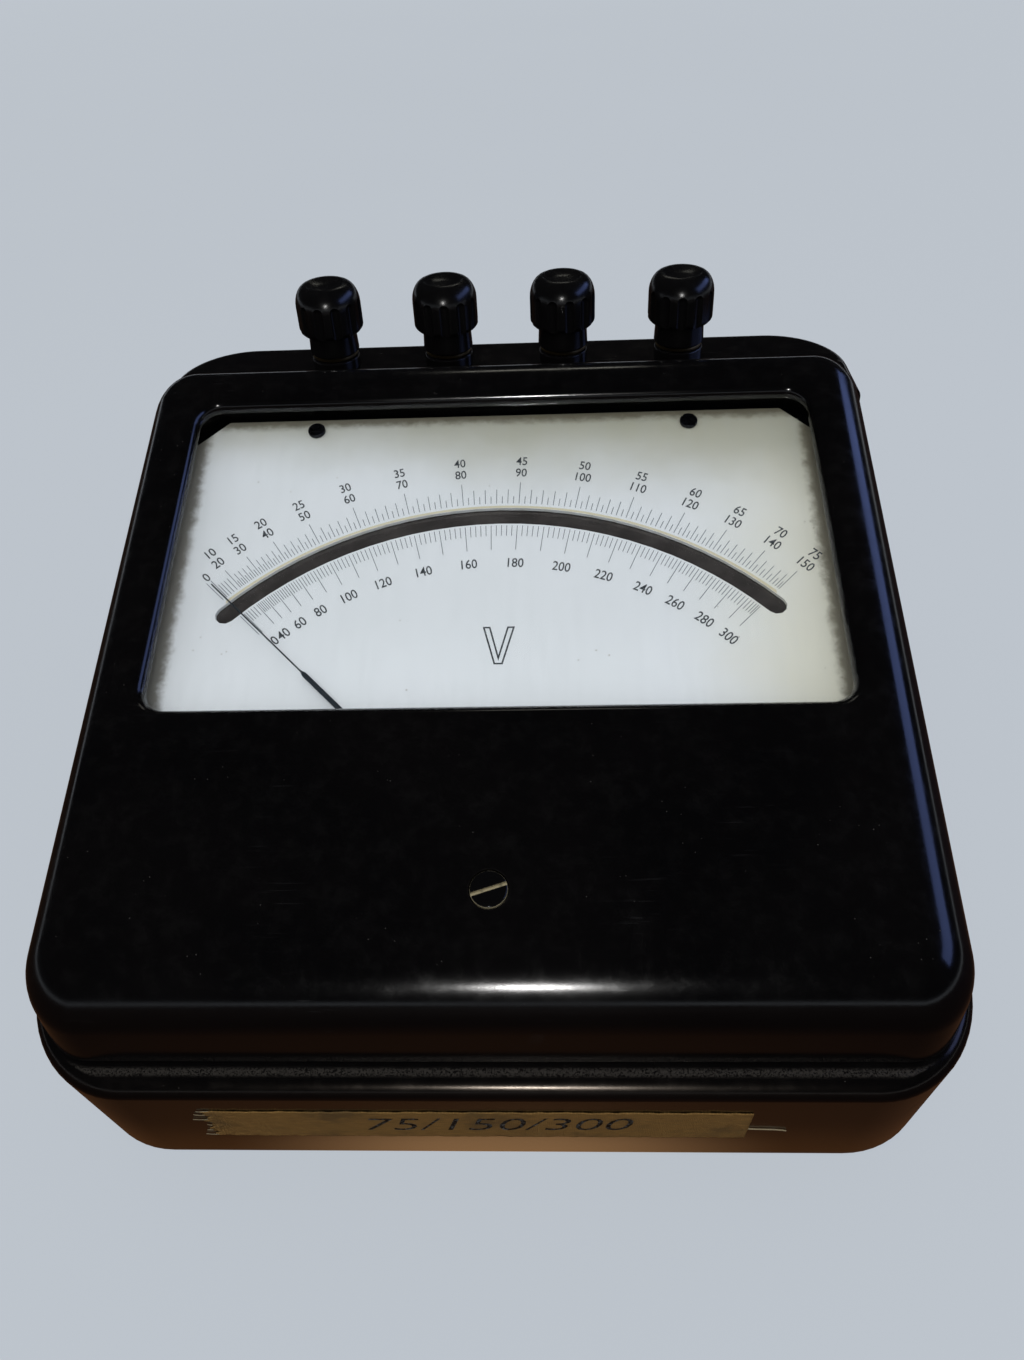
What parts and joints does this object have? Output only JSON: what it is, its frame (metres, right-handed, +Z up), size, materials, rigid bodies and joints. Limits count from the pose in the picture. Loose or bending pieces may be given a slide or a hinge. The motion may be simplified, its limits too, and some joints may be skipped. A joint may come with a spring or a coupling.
{
  "type": "laboratory voltmeter",
  "caption": "Sloping black bench voltmeter: moulded case, glass window, mirror scale with pointer, zero adjuster and screw terminals on a rear shelf.",
  "frame": {"origin": "on the table under the middle of the case", "axes": "+X to the right, +Y to the rear where the terminals are, +Z up"},
  "size_m": [0.2076, 0.219, 0.1394],
  "materials": {
    "bakelite": "black phenolic moulding, polished",
    "terminal_moulding": "black phenolic moulding, polished",
    "window_glass": "clear flat glass",
    "cement": "cream glazing cement",
    "dial_enamel": "matt off-white paint, darker and creamier at its edges",
    "scale_mirror": "dark silvered strip",
    "blued_steel": "dark blued steel",
    "plated_steel": "dull plated steel",
    "brass": "turned brass",
    "pointer_black": "thin aluminium, painted slate black",
    "aluminium": "bare aluminium",
    "soft_iron": "bare soft iron",
    "fibre": "red fibre spool",
    "enamelled_copper": "enamelled copper wire",
    "laminate_board": "brown laminate board",
    "cotton_sleeve": "varnished cotton sleeving",
    "cloth_strip": "worn tan cloth tape"
  },
  "bodies": {
    "case": {"base_case": "bakelite", "cover": "bakelite", "case_screw_front_left": "plated_steel", "case_screw_front_right": "plated_steel", "case_screw_rear_left": "plated_steel", "case_screw_rear_right": "plated_steel", "window_glass": "window_glass", "glass_cement": "cement", "dial_plate": "dial_enamel", "mirror_strip": "scale_mirror", "dial_screw_left": "blued_steel", "dial_screw_right": "blued_steel", "carrier_plate": "plated_steel", "upper_bridge": "plated_steel", "lower_bridge": "plated_steel", "movement_screw_left": "blued_steel", "movement_screw_right": "blued_steel", "upper_jewel_screw": "brass", "lower_jewel_screw": "brass", "damping_chamber": "aluminium", "coil_bobbin": "fibre", "field_coil": "enamelled_copper", "fixed_iron": "soft_iron", "terminal_stud_1": "brass", "terminal_stud_2": "brass", "terminal_stud_3": "brass", "terminal_stud_4": "brass", "terminal_collar_1": "terminal_moulding", "terminal_collar_2": "terminal_moulding", "terminal_collar_3": "terminal_moulding", "terminal_collar_4": "terminal_moulding", "terminal_lead_1": "cotton_sleeve", "terminal_lead_2": "cotton_sleeve", "terminal_lead_3": "cotton_sleeve", "terminal_lead_4": "cotton_sleeve", "resistor_board": "laminate_board", "board_screw_left": "blued_steel", "board_screw_right": "blued_steel", "series_resistor_1": "fibre", "series_resistor_2": "fibre", "series_resistor_3": "fibre", "cloth_strip": "cloth_strip"},
    "zero_adjuster": {"zero_adjust_screw": "terminal_moulding"},
    "zero_lever": {"zero_lever": "plated_steel", "hairspring": "brass"},
    "movement": {"staff": "blued_steel", "pointer": "pointer_black", "balance_weight_left": "brass", "balance_weight_right": "brass", "damping_vane": "aluminium", "moving_iron": "soft_iron"},
    "washer_1": {"clamp_washer_1": "brass"},
    "washer_2": {"clamp_washer_2": "brass"},
    "washer_3": {"clamp_washer_3": "brass"},
    "washer_4": {"clamp_washer_4": "brass"},
    "cap_1": {"terminal_cap_1": "terminal_moulding"},
    "cap_2": {"terminal_cap_2": "terminal_moulding"},
    "cap_3": {"terminal_cap_3": "terminal_moulding"},
    "cap_4": {"terminal_cap_4": "terminal_moulding"}
  },
  "joints": [
    {"name": "zero_adjuster_turn", "type": "hinge", "parent": "case", "child": "zero_adjuster", "pos_m": [0, -0.07945, 0.06645], "axis": [0, -0.342, 0.9397], "range_deg": [-45, 45]},
    {"name": "zero_lever_swing", "type": "hinge", "parent": "case", "child": "zero_lever", "pos_m": [0, -0.07052, 0.0697], "axis": [0, -0.342, 0.9397], "range_deg": [-4.1, 4.1]},
    {"name": "pointer_swing", "type": "hinge", "parent": "zero_lever", "child": "movement", "pos_m": [0, -0.07052, 0.0697], "axis": [0, 0.342, -0.9397], "range_deg": [-2.5, 92], "stiffness_Nm_per_rad": 0.0003},
    {"name": "washer_lift_1", "type": "slide", "parent": "case", "child": "washer_1", "axis": [0, 0, 1], "range_m": [0, 0.004]},
    {"name": "cap_turn_1", "type": "hinge", "parent": "washer_1", "child": "cap_1", "pos_m": [-0.0528, 0.0924, 0.119], "axis": [0, 0, 1], "range_deg": [0, 1440]},
    {"name": "washer_lift_2", "type": "slide", "parent": "case", "child": "washer_2", "axis": [0, 0, 1], "range_m": [0, 0.004]},
    {"name": "cap_turn_2", "type": "hinge", "parent": "washer_2", "child": "cap_2", "pos_m": [-0.0176, 0.0924, 0.119], "axis": [0, 0, 1], "range_deg": [0, 1440]},
    {"name": "washer_lift_3", "type": "slide", "parent": "case", "child": "washer_3", "axis": [0, 0, 1], "range_m": [0, 0.004]},
    {"name": "cap_turn_3", "type": "hinge", "parent": "washer_3", "child": "cap_3", "pos_m": [0.0176, 0.0924, 0.119], "axis": [0, 0, 1], "range_deg": [0, 1440]},
    {"name": "washer_lift_4", "type": "slide", "parent": "case", "child": "washer_4", "axis": [0, 0, 1], "range_m": [0, 0.004]},
    {"name": "cap_turn_4", "type": "hinge", "parent": "washer_4", "child": "cap_4", "pos_m": [0.0528, 0.0924, 0.119], "axis": [0, 0, 1], "range_deg": [0, 1440]}
  ],
  "couplings": [
    {"joint": "zero_lever_swing", "follows": "zero_adjuster_turn", "ratio": 0.09},
    {"joint": "cap_turn_1", "follows": "washer_lift_1", "rad_per_m": 6283.2},
    {"joint": "cap_turn_2", "follows": "washer_lift_2", "rad_per_m": 6283.2},
    {"joint": "cap_turn_3", "follows": "washer_lift_3", "rad_per_m": 6283.2},
    {"joint": "cap_turn_4", "follows": "washer_lift_4", "rad_per_m": 6283.2}
  ]
}
